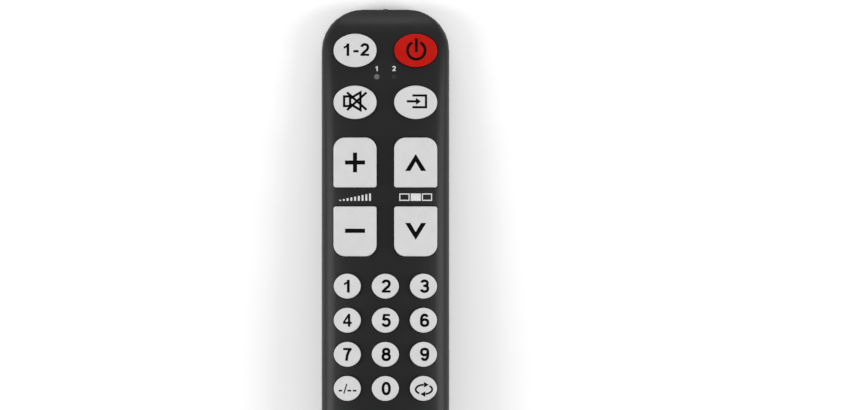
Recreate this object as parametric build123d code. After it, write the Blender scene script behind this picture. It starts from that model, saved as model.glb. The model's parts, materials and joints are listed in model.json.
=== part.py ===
# A universal remote control with big keys, modelled as it comes apart on a bench: two moulded
# shells, a battery door, silicone keys over a printed board, the parts on the board, two cells
# with their contacts, and the screws.
# The housing is modelled with X across, Y along with the head at +Y, and Z out of the key face.
# Z = 0 is the plane where the two shells meet. At the end everything is tipped and lifted
# together, so that the remote rests on its back as it does on a table.

import math
import os

from build123d import *

# Housing
body_width = 54.4
tail_length = 21.0
crown_height = 11.8
back_depth = 18.0
wall = 2.0
head_corner_radius = 17.5
tail_corner_radius = 17.5
face_side_radius = 8.0
back_side_radius = 10.0
overrun = 1.0
samples_per_edge = 12
# How much of its height the face or the back loses from the middle to the side, how much of the
# largest possible side radius is used where the housing is thin, and how much of a side radius
# stays at least when the form is drawn in.
face_drop_share = 0.42
back_drop_share = 0.03
side_radius_share = 0.9
smallest_side_share = 0.25
# The housing seen from the side, from head to tail: place along it, height of the face and
# depth of the back, as shares of the length, the crown height and the back depth.
side_view_shares = [
    (0.0, 0.042, 0.028),
    (0.0015, 0.080, 0.082),
    (0.004, 0.123, 0.139),
    (0.010, 0.220, 0.239),
    (0.021, 0.373, 0.353),
    (0.0325, 0.490, 0.422),
    (0.050, 0.585, 0.453),
    (0.0675, 0.645, 0.453),
    (0.0875, 0.695, 0.444),
    (0.160, 0.814, 0.392),
    (0.260, 0.898, 0.456),
    (0.400, 0.966, 0.617),
    (0.540, 0.996, 0.789),
    (0.670, 1.0, 0.933),
    (0.775, 0.983, 1.0),
    (0.850, 0.945, 0.956),
    (0.900, 0.873, 0.856),
    (0.920, 0.802, 0.786),
    (0.940, 0.708, 0.700),
    (0.960, 0.555, 0.580),
    (0.975, 0.390, 0.435),
    (0.986, 0.240, 0.300),
    (0.995, 0.100, 0.150),
    (0.9985, 0.062, 0.084),
    (1.0, 0.034, 0.028),
]

# Lip of the top shell, which lies inside the wall of the bottom shell
lip_thickness = 0.85
lip_depth = 1.5
lip_gap = 0.15

# Keys: sizes across and along, and the places of their rows from the head
oval_width = 18.3
oval_length = 14.25
oval_side_share = 0.85
step_width = 18.3
step_length = 21.2
step_outer_radius = 4.9
step_inner_radius = 1.0
number_width = 11.5
number_length = 10.6
pair_offset = 12.9
number_pitch_across = 16.2
number_pitch_along = 14.5
selector_row = 17.5
source_row = 39.6
step_up_row = 65.2
step_down_row = 94.5
first_number_row = 117.8
key_proud = 2.5
key_edge = 0.5
key_gap = 0.35
key_travel = 1.0
press_clearance = 0.4
pill_diameter = 5.0
pill_sides = 8
pill_clearance = 0.1
pill_gap = 0.3

# Board and keypad sheet
board_top = 1.4
board_thickness = 1.6
board_gap = 0.5
board_start = 10.0
board_end = 171.0
sheet_thickness = 1.2
sheet_half_width = 20.0
sheet_start = 11.0
sheet_end = 169.5
sheet_corner_radius = 9.0

# Indicator lights
indicator_diameter = 2.3
indicator_offset = 3.67
indicator_row = 28.7
light_pipe_gap = 0.1
light_pipe_collar_diameter = 3.6
light_pipe_collar_height = 0.8
chip_led_width = 1.6
chip_led_length = 0.8
chip_led_height = 0.7

# Infrared LED
infrared_diameter = 5.0
infrared_flange_diameter = 5.8
infrared_flange = 1.0
infrared_length = 8.6
infrared_proud = 0.4
infrared_height = -0.6
infrared_gap = 0.15
lead_size = 0.5
lead_pitch = 2.54
lead_length = 4.0

# Screws and the posts that they enter
screw_diameter = 2.2
screw_gap = 0.05
screw_head_diameter = 4.4
screw_head_height = 1.5
board_screw_length = 7.0
case_screw_length = 12.0
post_diameter = 5.0
post_gap = 0.4
board_post_offset = 14.0
upper_post_row = 50.7
lower_post_row = 107.6
case_post_offset = 8.1
case_post_row = 112.0
case_post_reach = 1.3
boss_diameter = 6.4

# Battery door
door_width = 38.0
door_start = 106.5
door_corner_radius = 4.0
door_gap = 0.3
ledge_width = 1.2
tub_wall = 1.5
tongue_width = 6.0
tongue_offset = 11.0
tongue_length = 3.0
tongue_root = 2.0
tongue_thickness = 1.4
latch_width = 13.0
latch_length = 9.0
latch_room = 8.5
latch_slot = 0.8
grip_count = 4
grip_width = 0.8
grip_pitch = 2.0
grip_proud = 0.35

# Cells and their bay
cell_diameter = 10.5
cell_length = 44.5
cell_button_diameter = 3.8
cell_button_height = 1.0
cell_spacing = 11.6
cell_gap = 0.5
bay_wall = 1.5
contact_room = 7.5
bay_floor_gap = 0.45
bay_floor_thickness = 1.3
bay_rib_depth = 8.0
shelf_length = 12.0
shelf_depth = 7.5
cradle_width = 1.5
cradle_depth = 3.0
cradle_gap = 0.15
cradle_place_shares = (0.3, 0.5, 0.7)

# Contacts in the bay, bent from strip
strip_thickness = 0.4
strip_width = 8.0
strip_bend = 0.9
contact_gap = 0.1
spring_bow = 1.5
spring_return_share = 0.8
contact_drop = 3.5
tail_width = 3.0
tail_gap = 0.2

# Parts under the board
chip_length = 12.8
chip_width = 7.5
chip_height = 2.2
chip_row = 80.0
chip_pins = 10
pin_pitch = 1.27
pin_width = 0.5
pin_reach = 1.4
resonator_width = 7.0
resonator_length = 3.0
resonator_height = 5.0
resonator_row = 94.0
capacitor_diameter = 4.0
capacitor_length = 7.0
capacitor_row = 38.0
transistor_width = 4.5
transistor_depth = 3.6
transistor_height = 4.2
transistor_offset = 7.0
transistor_row = 20.0
resistor_width = 1.25
resistor_length = 2.0
resistor_height = 0.5
resistor_count = 6
resistor_pitch = 3.2
resistor_row = 66.0

# The shelf, the cells with room for their contacts, the latch and the tail follow one another
# along the housing, and give its length.
bay_start = door_start + shelf_length
bay_end = bay_start + cell_length + contact_room
door_end = bay_end + latch_room
body_length = door_end + tail_length


def along(distance):
    """Place along the housing of a point this far from the head."""
    return body_length / 2 - distance


def prism(outline, low, high):
    """Upright solid with this outline, between two heights."""
    return Pos(0, 0, low) * extrude(outline, high - low)


def block(left, right, near, far, low, high):
    """Box between two places across, two distances from the head and two heights."""
    middle = ((left + right) / 2, along((near + far) / 2), (low + high) / 2)
    return Pos(*middle) * Box(right - left, far - near, high - low)


def post(across, distance, diameter, low, high):
    """Upright cylinder."""
    return Pos(across, along(distance), (low + high) / 2) * Cylinder(diameter / 2, high - low)


def foot(across, distance, gap, low, high):
    """Eight-sided foot of a key, which carries its pill, or room for it when a gap is given."""
    outline = RegularPolygon(pill_diameter / 2 + gap, pill_sides, major_radius=False)
    return prism(Pos(across, along(distance)) * outline, low, high)


def slab(low, high):
    """Everything between two heights."""
    return block(-body_width, body_width, -overrun, body_length + overrun, low, high)


def rounded_outline(width, start, end, radius):
    """Rectangle with round corners, centred across, between two distances from the head."""
    outline = Rectangle(width, end - start)
    return Pos(0, along((start + end) / 2)) * fillet(outline.vertices(), radius)


def half_width(distance):
    """Half of the housing's width, which its corner radii narrow at the head and the tail."""
    near_head = distance < body_length / 2
    radius = head_corner_radius if near_head else tail_corner_radius
    reach = min(distance, body_length - distance, radius)
    return body_width / 2 - radius + math.sqrt(radius**2 - (radius - reach) ** 2)


def quarter_points(width, height, drop_share, side_radius, inset):
    """Points of a quarter of a cross-section: a gentle arc across, then a tighter side arc.

    Gives the middle of the gentle arc, where the arcs meet, a point on the side arc and its end.
    """
    across = width**2 / (2 * drop_share * height)
    largest = (across**2 - width**2 - (across - height) ** 2) / (2 * (across - width))
    side = min(side_radius, side_radius_share * largest)
    centre = width - side
    level = height - across + math.sqrt((across - side) ** 2 - centre**2)
    direction = math.atan2(level - (height - across), centre)
    side = max(side - inset, smallest_side_share * side)
    if inset:
        centre = width - inset - side
        level = height - across + math.sqrt((across - inset - side) ** 2 - centre**2)
        direction = math.atan2(level - (height - across), centre)
    arc_points = [
        (centre + side * math.cos(angle), level + side * math.sin(angle))
        for angle in (direction, direction / 2, 0)
    ]
    return [(0, height - inset), *arc_points]


def cross_section(distance, height, depth, inset):
    """Closed outline of the housing across, at this distance from the head."""
    width = half_width(distance)
    place = along(inset + distance * (1 - 2 * inset / body_length))
    face = quarter_points(width, height, face_drop_share, face_side_radius, inset)
    back = quarter_points(width, depth, back_drop_share, back_side_radius, inset)

    def point(pair, side, turn):
        return Vector(side * pair[0], place, turn * pair[1])

    def arc(first, middle, last):
        return Edge.make_three_point_arc(first, middle, last)

    return Wire([
        arc(point(face[1], -1, 1), point(face[0], 1, 1), point(face[1], 1, 1)),
        arc(point(face[1], 1, 1), point(face[2], 1, 1), point(face[3], 1, 1)),
        Edge.make_line(point(face[3], 1, 1), point(back[3], 1, -1)),
        arc(point(back[3], 1, -1), point(back[2], 1, -1), point(back[1], 1, -1)),
        arc(point(back[1], 1, -1), point(back[0], 1, -1), point(back[1], -1, -1)),
        arc(point(back[1], -1, -1), point(back[2], -1, -1), point(back[3], -1, -1)),
        Edge.make_line(point(back[3], -1, -1), point(face[3], -1, 1)),
        arc(point(face[3], -1, 1), point(face[2], -1, 1), point(face[1], -1, 1)),
    ])


def housing_form(inset):
    """The housing's whole outer form, drawn in by an inset, or grown where it is negative.

    The forms inside it follow every second row of the side view, which is smooth enough there.
    """
    rows = side_view_shares[::2] if inset > 0 else side_view_shares
    sections = []
    for place_share, height_share, depth_share in rows:
        height = height_share * crown_height
        depth = depth_share * back_depth
        if height * (1 - face_drop_share) > inset and depth * (1 - back_drop_share) > inset:
            sections.append(cross_section(place_share * body_length, height, depth, inset))
    return Solid.make_loft(sections, ruled=True)


def side_view(distance):
    """Height of the face and of the back in the middle, at this distance from the head."""
    share = distance / body_length
    for near, far in zip(side_view_shares, side_view_shares[1:]):
        if near[0] <= share <= far[0]:
            part = (share - near[0]) / (far[0] - near[0])
            height_share = near[1] + part * (far[1] - near[1])
            depth_share = near[2] + part * (far[2] - near[2])
            return height_share * crown_height, -depth_share * back_depth


def oval(width, length, gap):
    """Oval of four arcs that meet smoothly: tight at its sides, wide at its ends."""
    half_length = length / 2
    tight = oval_side_share * half_length
    reach = width / 2 - tight
    rise = half_length - tight
    drop = (reach**2 - rise**2) / (2 * rise)
    wide = half_length + drop + gap
    tight += gap
    turn = math.atan2(drop, reach)
    corner = Vector(reach + tight * math.cos(turn), tight * math.sin(turn))
    corners = [Vector(x * corner.X, y * corner.Y) for x, y in ((1, 1), (-1, 1), (-1, -1), (1, -1))]
    middles = [Vector(0, wide - drop), Vector(-reach - tight, 0)]
    middles += [-middle for middle in middles]
    arcs = [
        Edge.make_three_point_arc(start, middle, end)
        for start, middle, end in zip(corners, middles, corners[1:] + corners[:1])
    ]
    return Face(Wire(arcs))


def key_outline(kind, gap=0):
    """Outline of a key, or of its hole in the face when a gap is given."""
    if kind == "oval":
        return oval(oval_width, oval_length, gap)
    if kind == "number":
        return oval(number_width, number_length, gap)
    outline = Rectangle(step_width + 2 * gap, step_length + 2 * gap)
    outer_end = -1 if kind == "step_up" else 0
    outline = fillet(outline.vertices().group_by(Axis.Y)[outer_end], step_outer_radius + gap)
    inner_end = -1 - outer_end
    return fillet(outline.vertices().group_by(Axis.Y)[inner_end], step_inner_radius + gap)


def key_places():
    """Each key's name, kind, place across and distance from the head."""
    places = [
        ("key_one_two", "oval", -pair_offset, selector_row),
        ("key_power", "oval", pair_offset, selector_row),
        ("key_mute", "oval", -pair_offset, source_row),
        ("key_source", "oval", pair_offset, source_row),
        ("key_volume_up", "step_up", -pair_offset, step_up_row),
        ("key_channel_up", "step_up", pair_offset, step_up_row),
        ("key_volume_down", "step_down", -pair_offset, step_down_row),
        ("key_channel_down", "step_down", pair_offset, step_down_row),
    ]
    number_names = [f"key_{digit}" for digit in range(1, 10)] + ["key_digits", "key_0", "key_swap"]
    for index, name in enumerate(number_names):
        row, column = divmod(index, 3)
        across = (column - 1) * number_pitch_across
        places.append((name, "number", across, first_number_row + row * number_pitch_along))
    return places


above = 2 * crown_height
below = -2 * back_depth
sheet_top = board_top + sheet_thickness
board_bottom = board_top - board_thickness
chip_led_top = board_top + chip_led_height
cap_floor = sheet_top + key_travel + press_clearance
foot_floor = board_top + key_travel + pill_clearance
case_post_end = board_bottom - case_post_reach
shelf_bottom = -shelf_depth - bay_wall
floor_top = board_bottom - bay_floor_gap
floor_bottom = floor_top - bay_floor_thickness
cell_axis = floor_bottom - cell_gap - cell_diameter / 2
door_edge = side_view(door_start)[1]
tongue_bottom = door_edge + wall + door_gap

board_posts = [
    (side * board_post_offset, row) for row in (upper_post_row, lower_post_row) for side in (-1, 1)
]
case_posts = [(side * case_post_offset, case_post_row) for side in (-1, 1)]
indicators = [(side * indicator_offset, indicator_row) for side in (-1, 1)]
tongue_offsets = [-tongue_offset, tongue_offset]
cell_offsets = [-cell_spacing / 2, cell_spacing / 2]


def make_key(kind, across, row):
    """A key: cap with a chamfered flat top that lies along the face, over a foot with its pill."""
    height, _ = side_view(row)
    lower, _ = side_view(row + number_length / 2)
    upper, _ = side_view(row - number_length / 2)
    radius = half_width(row) ** 2 / (2 * face_drop_share * height)
    slope = math.degrees(math.atan2(upper - lower, number_length))
    turn = math.asin(across / radius)
    level = height + key_proud - radius * (1 - math.cos(turn))
    size = 2 * step_length
    room = Pos(0, 0, -size / 2) * Box(size, size, size)
    room = Pos(across, along(row), level) * Rot(slope, 0, 0) * Rot(0, math.degrees(turn), 0) * room
    cap = prism(Pos(across, along(row)) * key_outline(kind), cap_floor, above) & room
    cap = chamfer(cap.faces().sort_by(Axis.Z)[-1].edges(), key_edge)
    return cap + foot(across, row, 0, foot_floor, cap_floor)


def infrared_form(gap):
    """The infrared LED's domed barrel and flange, or the room for them when a gap is given."""
    tip = infrared_diameter / 2 - infrared_proud
    end = infrared_length - infrared_proud
    form = Pos(0, along(tip), infrared_height) * Sphere(infrared_diameter / 2 + gap)
    form += barrel(infrared_diameter + 2 * gap, tip, end)
    return form + barrel(infrared_flange_diameter + 2 * gap, end - infrared_flange - gap, end)


def barrel(diameter, near, far):
    """Cylinder that lies along the housing at the infrared LED's height."""
    cylinder = Cylinder(diameter / 2, far - near, rotation=(90, 0, 0))
    return Pos(0, along((near + far) / 2), infrared_height) * cylinder


def make_infrared_led():
    """LED with a domed tip that just passes the head, and two leads that turn up to the board."""
    led = infrared_form(0)
    near = infrared_length - infrared_proud
    far = near + lead_length
    half = lead_size / 2
    for side in (-1, 1):
        left = side * lead_pitch / 2 - half
        right = left + lead_size
        led += block(left, right, near, far, infrared_height - half, infrared_height + half)
        led += block(left, right, far - lead_size, far, infrared_height, board_bottom)
    return led


def infrared_room():
    """Room for the infrared LED and its leads, from the head to the board."""
    flange_end = infrared_length - infrared_proud
    pocket = barrel(infrared_flange_diameter + 2 * infrared_gap, flange_end, board_start)
    return infrared_form(infrared_gap) + pocket


def plan_outline(inset):
    """The housing's outline seen on the keys, drawn in by an inset."""
    outline = Rectangle(body_width - 2 * inset, body_length - 2 * inset)
    outline = fillet(outline.vertices().group_by(Axis.Y)[-1], head_corner_radius - inset)
    return fillet(outline.vertices().group_by(Axis.Y)[0], tail_corner_radius - inset)


def make_lip():
    """Lip along the meeting plane: fused to the top shell above it, inside the bottom shell below."""
    upper = housing_form(wall / 2) & slab(0, lip_depth)
    lower = housing_form(wall + lip_gap) & slab(-lip_depth, 0)
    inside = plan_outline(wall + lip_gap + lip_thickness)
    return (upper + lower) - prism(inside, -lip_depth, lip_depth)


def make_top_case(shell, lip):
    """Top shell: crowned face with its key holes, lip, posts and light holes."""
    case = (shell & slab(0, above)) + lip
    filled = housing_form(wall / 2)
    for across, row in board_posts:
        case += post(across, row, post_diameter, board_top, above) & filled
    for across, row in case_posts:
        case += post(across, row, post_diameter, case_post_end, above) & filled
    cuts = [
        prism(Pos(across, along(row)) * key_outline(kind, key_gap), board_top, above)
        for _, kind, across, row in key_places()
    ]
    hole = screw_diameter + 2 * screw_gap
    for across, row in board_posts:
        cuts.append(post(across, row, hole, below, board_bottom + board_screw_length))
    for across, row in case_posts:
        cuts.append(post(across, row, hole, below, shelf_bottom + case_screw_length))
    for across, row in indicators:
        cuts.append(post(across, row, indicator_diameter + 2 * light_pipe_gap, 0, above))
    return case - cuts - infrared_room()


def make_bottom_case(shell):
    """Bottom shell: back with the door's opening, the tub round the door, shelf and cell bay."""
    case = (shell & slab(below, 0)) - prism(door_outline(door_gap), below, 0)
    case += make_tub()
    case += make_shelf()
    case += make_bay()
    hole = screw_diameter + 2 * screw_gap
    case -= [post(across, row, hole, below, 0) for across, row in case_posts]
    case -= [tongue_room(middle) for middle in tongue_offsets]
    return case - infrared_room()


def make_tub():
    """Wall round the door's opening, and inside it the ledge that the door lies against."""
    opening = prism(door_outline(door_gap), below, floor_bottom)
    rim = prism(door_outline(door_gap + tub_wall), below, floor_bottom) - opening
    ledge = opening - prism(door_outline(-ledge_width), below, floor_bottom)
    return (rim & housing_form(wall / 2)) + (ledge & housing_form(wall + door_gap))


def make_shelf():
    """Shelf beside the bay, under which the case screws' heads bear, with a boss over each."""
    edge = door_width / 2
    shelf = block(-edge, edge, door_start, bay_start - bay_wall / 2, shelf_bottom, -shelf_depth)
    for across, row in case_posts:
        shelf += post(across, row, boss_diameter, -shelf_depth, case_post_end)
    return shelf


def make_bay():
    """Floor over the cells, walls at their ends and sides, cradle ribs, and slots for the tails."""
    edge = door_width / 2
    inside = housing_form(wall + door_gap)
    bay = block(-edge, edge, bay_start - bay_wall, door_end, floor_bottom, floor_top)
    for near in (bay_start - bay_wall, bay_end):
        bay += block(-edge, edge, near, near + bay_wall, below, floor_bottom) & inside
    rib_start = cell_spacing / 2 + cell_diameter / 2 + cradle_gap
    for left in (-rib_start - bay_wall, rib_start):
        bay += block(
            left, left + bay_wall, bay_start, bay_end, floor_bottom - bay_rib_depth, floor_bottom
        )
    bay += make_cradles(rib_start + bay_wall / 2)
    half_slot = tail_width / 2 + tail_gap
    slot_end = bay_start + contact_gap + strip_thickness + tail_gap
    for across in cell_offsets:
        bay -= block(
            across - half_slot, across + half_slot, bay_start, slot_end,
            floor_bottom - overrun, floor_top + overrun,
        )
    return bay


def make_cradles(reach):
    """Ribs under the bay's floor, hollowed to the cells' round backs."""
    cradles = []
    for share in cradle_place_shares:
        row = bay_start + share * (bay_end - bay_start)
        rib = block(
            -reach, reach, row - cradle_width / 2, row + cradle_width / 2,
            floor_bottom - cradle_depth, floor_bottom + bay_floor_thickness / 2,
        )
        for across in cell_offsets:
            hollow = Cylinder(cell_diameter / 2 + cradle_gap, 2 * body_length, rotation=(90, 0, 0))
            rib -= Pos(across, 0, cell_axis) * hollow
        cradles += rib.solids()
    return cradles


def door_outline(grow):
    """The door's outline, grown on every side, or drawn in where it is negative."""
    return rounded_outline(
        door_width + 2 * grow, door_start - grow, door_end + grow, door_corner_radius + grow
    )


def tongue_room(middle):
    """Room for a tongue behind the wall at the door's head end, also while the door swings."""
    half = tongue_width / 2 + door_gap
    reach = tongue_length + door_gap
    return block(
        middle - half, middle + half, door_start - reach, door_start + reach,
        tongue_bottom - door_gap, shelf_bottom,
    )


def make_tongue(middle):
    """One of the door's tongues, which reach behind the wall at its head end."""
    left = middle - tongue_width / 2
    right = middle + tongue_width / 2
    root = door_start + tongue_root
    top = tongue_bottom + tongue_thickness
    tongue = block(left, right, door_start - tongue_length, root, tongue_bottom, top)
    return tongue + block(left, right, door_start, root, door_edge + wall / 2, top)


def make_door(shell):
    """Battery door: a piece of the back with two tongues, a sprung latch tab and grip ribs."""
    door = shell & prism(door_outline(0), below, 0)
    for middle in tongue_offsets:
        door += make_tongue(middle)
    tab_edge = latch_width / 2
    for left in (-tab_edge - latch_slot, tab_edge):
        door -= block(
            left, left + latch_slot, door_end - latch_length, door_end + overrun, below, 0
        )
    grip_form = housing_form(-grip_proud) - housing_form(wall / 2)
    grip_edge = tab_edge - grip_pitch
    for index in range(grip_count):
        near = door_end - grip_pitch * (index + 1) - grip_width / 2
        door += block(-grip_edge, grip_edge, near, near + grip_width, below, 0) & grip_form
    return door


def make_sheet():
    """Silicone keypad sheet on the board, with a hole for each key's foot, post and light pipe."""
    outline = rounded_outline(2 * sheet_half_width, sheet_start, sheet_end, sheet_corner_radius)
    sheet = prism(outline, board_top, sheet_top)
    feet = [(across, row) for _, _, across, row in key_places()]
    cuts = [foot(across, row, pill_gap, 0, above) for across, row in feet]
    cuts += [foot(across, row, post_gap, 0, above) for across, row in board_posts + case_posts]
    hole = indicator_diameter + 2 * light_pipe_gap
    return sheet - cuts - [post(across, row, hole, 0, above) for across, row in indicators]


def make_board():
    """Printed board: fills the housing inside the lip, with holes for screws and posts."""
    inset = wall + lip_gap + lip_thickness + board_gap
    width = body_width - 2 * inset
    outline = rounded_outline(width, board_start, board_end, head_corner_radius - inset)
    board = prism(outline, board_bottom, board_top)
    holes = [(across, row, screw_diameter + 2 * post_gap) for across, row in board_posts]
    holes += [(across, row, post_diameter + 2 * post_gap) for across, row in case_posts]
    return board - [post(*hole, below, above) for hole in holes]


def make_light_pipe(across, row):
    """Clear pipe from an indicator LED to the face, with a collar that sits on the sheet."""
    face_height, _ = side_view(row - indicator_diameter / 2)
    pipe = post(across, row, indicator_diameter, chip_led_top + light_pipe_gap, face_height)
    collar_top = sheet_top + light_pipe_collar_height
    return pipe + post(across, row, light_pipe_collar_diameter, sheet_top, collar_top)


def make_controller():
    """Controller chip under the board, with its two rows of pins."""
    top = board_bottom
    near = chip_row - chip_length / 2
    body = block(
        -chip_width / 2, chip_width / 2, near, near + chip_length, top - chip_height, top - pin_width / 2
    )
    first = chip_row - pin_pitch * (chip_pins - 1) / 2
    for index in range(chip_pins):
        row = first + index * pin_pitch
        body += block(
            -chip_width / 2 - pin_reach, chip_width / 2 + pin_reach,
            row - pin_width / 2, row + pin_width / 2, top - pin_width, top,
        )
    return body


def make_resonator():
    """Ceramic resonator under the board, with its rounded ends."""
    outline = Pos(0, along(resonator_row)) * SlotOverall(resonator_width, resonator_length)
    return prism(outline, board_bottom - resonator_height, board_bottom)


def make_capacitor():
    """Supply capacitor, lying across under the board, with its two leads bent up to it."""
    middle = board_bottom - capacitor_diameter / 2
    can = Cylinder(capacitor_diameter / 2, capacitor_length, rotation=(0, 90, 0))
    can = Pos(0, along(capacitor_row), middle) * can
    end = capacitor_length / 2
    half = lead_size / 2
    for side in (-1, 1):
        row = capacitor_row + side * lead_pitch / 4
        can += block(end, end + lead_pitch / 2, row - half, row + half, middle - half, middle + half)
        can += block(
            end + lead_pitch / 2 - lead_size, end + lead_pitch / 2, row - half, row + half,
            middle, board_bottom,
        )
    return can


def make_transistor():
    """Driver transistor: a flattened round body on three short leads."""
    round_body = Circle(transistor_width / 2)
    flat = Rectangle(transistor_width, transistor_depth)
    offset_flat = Pos(0, (transistor_width - transistor_depth) / 2) * flat
    outline = Pos(transistor_offset, along(transistor_row)) * (round_body & offset_flat)
    top = board_bottom - lead_size
    body = prism(outline, top - transistor_height, top)
    half = lead_size / 2
    for index in (-1, 0, 1):
        middle = transistor_offset + index * lead_pitch / 2
        body += block(
            middle - half, middle + half, transistor_row - half, transistor_row + half,
            top, board_bottom,
        )
    return body


def make_resistors():
    """Chip resistors in a row under the board."""
    first = -resistor_pitch * (resistor_count - 1) / 2
    half_width_across = resistor_width / 2
    return [
        block(
            first + index * resistor_pitch - half_width_across,
            first + index * resistor_pitch + half_width_across,
            resistor_row - resistor_length / 2, resistor_row + resistor_length / 2,
            board_bottom - resistor_height, board_bottom,
        )
        for index in range(resistor_count)
    ]


def make_indicator_leds():
    """The two indicator LEDs, soldered to the top of the board under their light pipes."""
    return [
        block(
            across - chip_led_width / 2, across + chip_led_width / 2,
            row - chip_led_length / 2, row + chip_led_length / 2, board_top, chip_led_top,
        )
        for across, row in indicators
    ]


def make_screw(across, row, bearing, length):
    """A self-tapping screw that points up: flat head below its bearing height, then its shank."""
    head = post(across, row, screw_head_diameter, bearing - screw_head_height, bearing)
    return head + post(across, row, screw_diameter, bearing, bearing + length)


def make_cell(across, start, button_to_head):
    """A round cell lying along the bay, with its button at one end."""
    button_side = -1 if button_to_head else 1
    can_length = cell_length - cell_button_height
    can_middle = start + cell_length / 2 - button_side * cell_button_height / 2
    can = Cylinder(cell_diameter / 2, can_length)
    button = Cylinder(cell_button_diameter / 2, cell_length)
    turn = Rot(90, 0, 0)
    cell = Pos(across, along(can_middle), cell_axis) * turn * can
    button_middle = start + cell_length / 2
    button_half = block(
        across - cell_diameter, across + cell_diameter,
        *sorted((button_middle, button_middle + button_side * cell_length)),
        cell_axis - cell_diameter, cell_axis + cell_diameter,
    )
    return cell + ((Pos(across, along(button_middle), cell_axis) * turn * button) & button_half)


def strip(points, across_low, across_high):
    """Strip metal bent along a path of points (distance from the head, height)."""
    path = FilletPolyline(*[(along(distance), height) for distance, height in points], radius=strip_bend)
    profile = trace(path, strip_thickness)
    bent = extrude(Plane.YZ * profile, across_high - across_low)
    return Pos(across_low, 0, 0) * bent


def contact_strip(across, wall_row, direction, sprung):
    """One contact against a bay wall: a flat plate, or a plate that bows out to the cell."""
    back = wall_row + direction * (contact_gap + strip_thickness / 2)
    edge = strip_width / 2
    top = floor_bottom - contact_gap
    end = cell_axis - contact_drop
    if not sprung:
        near, far = sorted((back - strip_thickness / 2, back + strip_thickness / 2))
        return block(across - edge, across + edge, near, far, end, top)
    reach = wall_row + direction * (spring_reach() - strip_thickness / 2)
    points = [
        (back, top),
        (back, end),
        (reach - direction * spring_bow, end),
        (reach, cell_axis),
        (reach - direction * spring_bow, cell_axis + contact_drop * spring_return_share),
    ]
    return strip(points, across - edge, across + edge)


def spring_reach():
    """How far a sprung contact stands out of its wall, to meet the cell's flat end."""
    return bay_end - bay_start - cell_length - 3 * contact_gap - strip_thickness


def contact_tail(across):
    """Tail of a contact at the head end, up through the bay's floor to the board."""
    back = bay_start + contact_gap
    return block(
        across - tail_width / 2, across + tail_width / 2, back, back + strip_thickness,
        floor_bottom - contact_gap, board_bottom,
    )


def make_bridge():
    """Bridge contact at the tail end: sprung for one cell, flat for the other, one strip."""
    bridge = contact_strip(cell_offsets[0], bay_end, -1, True)
    bridge += contact_strip(cell_offsets[1], bay_end, -1, False)
    far = bay_end - contact_gap
    bridge += block(
        cell_offsets[0], cell_offsets[1], far - strip_thickness, far,
        cell_axis, floor_bottom - contact_gap,
    )
    return bridge


def resting_tilt(outer):
    """Angle of the line that the back rests on, which touches it near the head and the tail."""
    middle_cut = outer & Face.make_rect(2 * body_length, 4 * back_depth, Plane.YZ)
    points = [
        edge @ (step / samples_per_edge)
        for edge in middle_cut.edges()
        for step in range(samples_per_edge + 1)
    ]
    back = [point for point in points if point.Z < 0]
    balance = outer.center(CenterOf.MASS).Y
    _, slope = min(
        (tail.Z + (head.Z - tail.Z) * (balance - tail.Y) / (head.Y - tail.Y),
         (head.Z - tail.Z) / (head.Y - tail.Y))
        for head in back if head.Y > balance
        for tail in back if tail.Y < balance
    )
    return math.degrees(math.atan(slope))


outer = housing_form(0)
shell = outer - housing_form(wall)
lip = make_lip()
pieces = {
    "top_case": make_top_case(shell, lip),
    "bottom_case": make_bottom_case(shell),
    "battery_door": make_door(shell),
    "keypad_sheet": make_sheet(),
    "circuit_board": make_board(),
    "controller_chip": make_controller(),
    "resonator": make_resonator(),
    "supply_capacitor": make_capacitor(),
    "driver_transistor": make_transistor(),
    "chip_resistors": make_resistors(),
    "indicator_leds": make_indicator_leds(),
    "infrared_led": make_infrared_led(),
    "board_screws": [
        make_screw(across, row, board_bottom, board_screw_length) for across, row in board_posts
    ],
    "case_screws": [
        make_screw(across, row, shelf_bottom, case_screw_length)
        for across, row in case_posts
    ],
    "contact_plate": contact_strip(cell_offsets[0], bay_start, 1, False)
    + contact_tail(cell_offsets[0]),
    "contact_spring": contact_strip(cell_offsets[1], bay_start, 1, True)
    + contact_tail(cell_offsets[1]),
    "contact_bridge": make_bridge(),
}
for side, (across, row) in zip(("left", "right"), indicators):
    pieces[f"light_pipe_{side}"] = make_light_pipe(across, row)
near_row = bay_start + 2 * contact_gap + strip_thickness
far_row = bay_end - 2 * contact_gap - strip_thickness - cell_length
pieces["battery_cell_left"] = make_cell(cell_offsets[0], near_row, True)
pieces["battery_cell_right"] = make_cell(cell_offsets[1], far_row, False)
for name, kind, across, row in key_places():
    pieces[name] = make_key(kind, across, row)

tilt = resting_tilt(outer)
tipped = Rot(-tilt, 0, 0)
shapes = {
    name: Compound(children=piece) if isinstance(piece, list) else piece
    for name, piece in pieces.items()
}
reach = Compound(children=[tipped * shape for shape in shapes.values()]).bounding_box()
placement = Pos(0, -(reach.min.Y + reach.max.Y) / 2, -reach.min.Z) * tipped

os.makedirs("parts", exist_ok=True)
for name, shape in shapes.items():
    export_step(placement * shape, f"parts/{name}.step")
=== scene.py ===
# A universal remote control with big silicone keys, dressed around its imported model.
# Lengths are in metres. The housing's own directions are taken from the way its keys press in:
# across to the right, ahead to the head, and out of the key face.

import json
import math

import bmesh
import bpy
import numpy as np
from mathutils import Matrix, Vector
from mathutils.bvhtree import BVHTree


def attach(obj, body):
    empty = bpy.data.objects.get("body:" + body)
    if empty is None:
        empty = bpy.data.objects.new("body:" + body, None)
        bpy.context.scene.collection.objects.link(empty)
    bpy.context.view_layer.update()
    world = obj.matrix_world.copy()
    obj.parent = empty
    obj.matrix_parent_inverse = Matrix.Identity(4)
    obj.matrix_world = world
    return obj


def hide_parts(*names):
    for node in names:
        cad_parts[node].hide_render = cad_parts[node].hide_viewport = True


mm = 0.001
# Points that lie nearer than this are one point
weld = 0.002 * mm

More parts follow.
